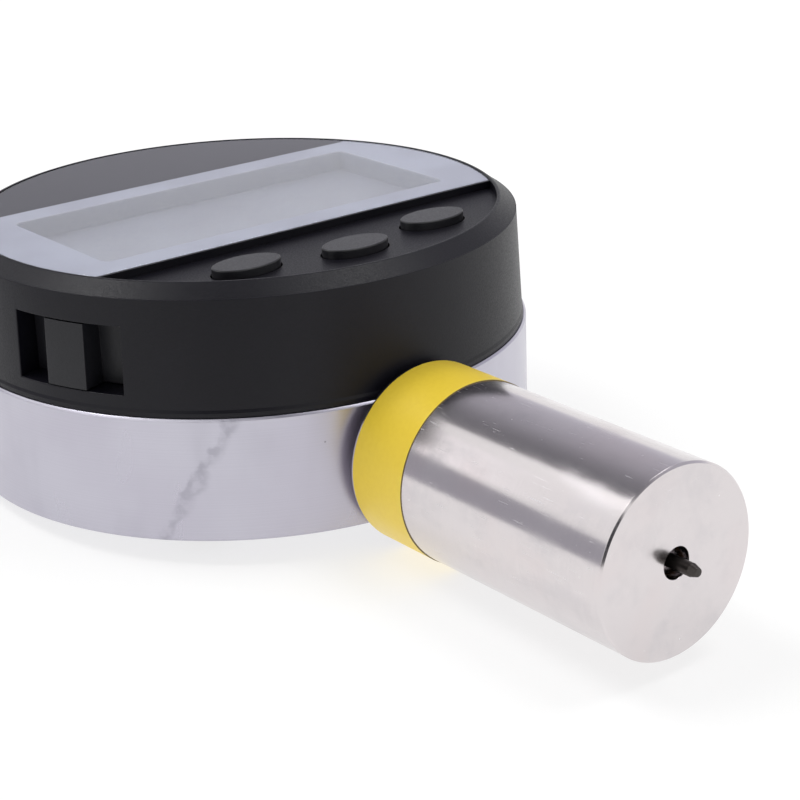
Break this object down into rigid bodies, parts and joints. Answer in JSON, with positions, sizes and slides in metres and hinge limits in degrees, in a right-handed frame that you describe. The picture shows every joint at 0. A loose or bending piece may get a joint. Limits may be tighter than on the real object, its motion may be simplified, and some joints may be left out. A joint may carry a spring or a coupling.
{
  "type": "digital Shore A hardness tester",
  "caption": "Handheld digital hardness tester: a round metal-backed head with a display window and buttons, and a sprung indenter probe on its rim.",
  "frame": {"origin": "centre of the head's flat back face", "axes": "+Z out through the display, -Y along the probe to the indenter's tip, +X to the right of the display as it is read with the probe pointing down"},
  "size_m": [0.06, 0.0968, 0.028],
  "materials": {
    "case_metal": "fine turned satin",
    "housing_plastic": "fine moulded grain",
    "lens": "clear acrylic",
    "frame_grey": "moulded satin grey",
    "lcd_glass": "glossy grey-green glass, display off",
    "inner_plastic": "moulded",
    "connector_rubber": "soft striped rubber",
    "board_green": "solder resist",
    "chip_black": "moulded epoxy",
    "spring_sheet": "bright spring sheet",
    "screw_steel": "zinc plated",
    "bracket_metal": "milled",
    "ribbon_film": "amber film",
    "barrel_steel": "polished along its length",
    "label_yellow": "vinyl band",
    "bush_bronze": "turned bronze",
    "spring_steel": "music wire",
    "spindle_steel": "ground",
    "indenter_steel": "hardened and blackened",
    "scale_board": "copper-striped laminate",
    "button_plastic": "smooth moulded",
    "drawer_plastic": "moulded",
    "cell_steel": "nickel-plated can"
  },
  "bodies": {
    "head": {"rear_case": "case_metal", "front_housing": "housing_plastic", "display_lens": "lens", "window_frame": "frame_grey", "lcd_panel": "lcd_glass", "lcd_holder": "inner_plastic", "zebra_strip": "connector_rubber", "main_board": "board_green", "controller_chip": "chip_black", "left_dome": "spring_sheet", "middle_dome": "spring_sheet", "right_dome": "spring_sheet", "contact_minus": "spring_sheet", "contact_plus": "spring_sheet", "housing_screws": "screw_steel", "board_screws": "screw_steel", "sensor_bracket": "bracket_metal", "sensor_board": "board_green", "sensor_screws": "screw_steel", "sensor_ribbon": "ribbon_film", "probe_barrel": "barrel_steel", "barrel_plug": "barrel_steel", "probe_label": "label_yellow", "barrel_lock_screw": "screw_steel", "rear_bush": "bush_bronze", "front_bush": "bush_bronze", "spring_adjuster": "bush_bronze", "load_spring": "spring_steel"},
    "plunger": {"spindle": "spindle_steel", "indenter": "indenter_steel", "spring_collar": "bush_bronze", "scale_carrier": "bracket_metal", "encoder_scale": "scale_board", "carrier_screw": "screw_steel", "guide_pin": "spindle_steel"},
    "left_button": {"left_button": "button_plastic"},
    "middle_button": {"middle_button": "button_plastic"},
    "right_button": {"right_button": "button_plastic"},
    "battery_drawer": {"battery_drawer": "drawer_plastic", "battery_cell": "cell_steel"}
  },
  "joints": [
    {"name": "plunger_slide", "type": "slide", "parent": "head", "child": "plunger", "axis": [0, 1, 0], "range_m": [0, 0.0025], "stiffness_N_per_m": 3004, "springref_m": -0.00018, "deforming": ["load_spring"]},
    {"name": "left_press", "type": "slide", "parent": "head", "child": "left_button", "axis": [0, 0, -1], "range_m": [0, 0.0004], "stiffness_N_per_m": 2500, "springref_m": -0.0002, "deforming": ["left_dome"]},
    {"name": "middle_press", "type": "slide", "parent": "head", "child": "middle_button", "axis": [0, 0, -1], "range_m": [0, 0.0004], "stiffness_N_per_m": 2500, "springref_m": -0.0002, "deforming": ["middle_dome"]},
    {"name": "right_press", "type": "slide", "parent": "head", "child": "right_button", "axis": [0, 0, -1], "range_m": [0, 0.0004], "stiffness_N_per_m": 2500, "springref_m": -0.0002, "deforming": ["right_dome"]},
    {"name": "drawer_slide", "type": "slide", "parent": "head", "child": "battery_drawer", "axis": [-0.9304, -0.3665, 0], "range_m": [0, 0.015]}
  ]
}
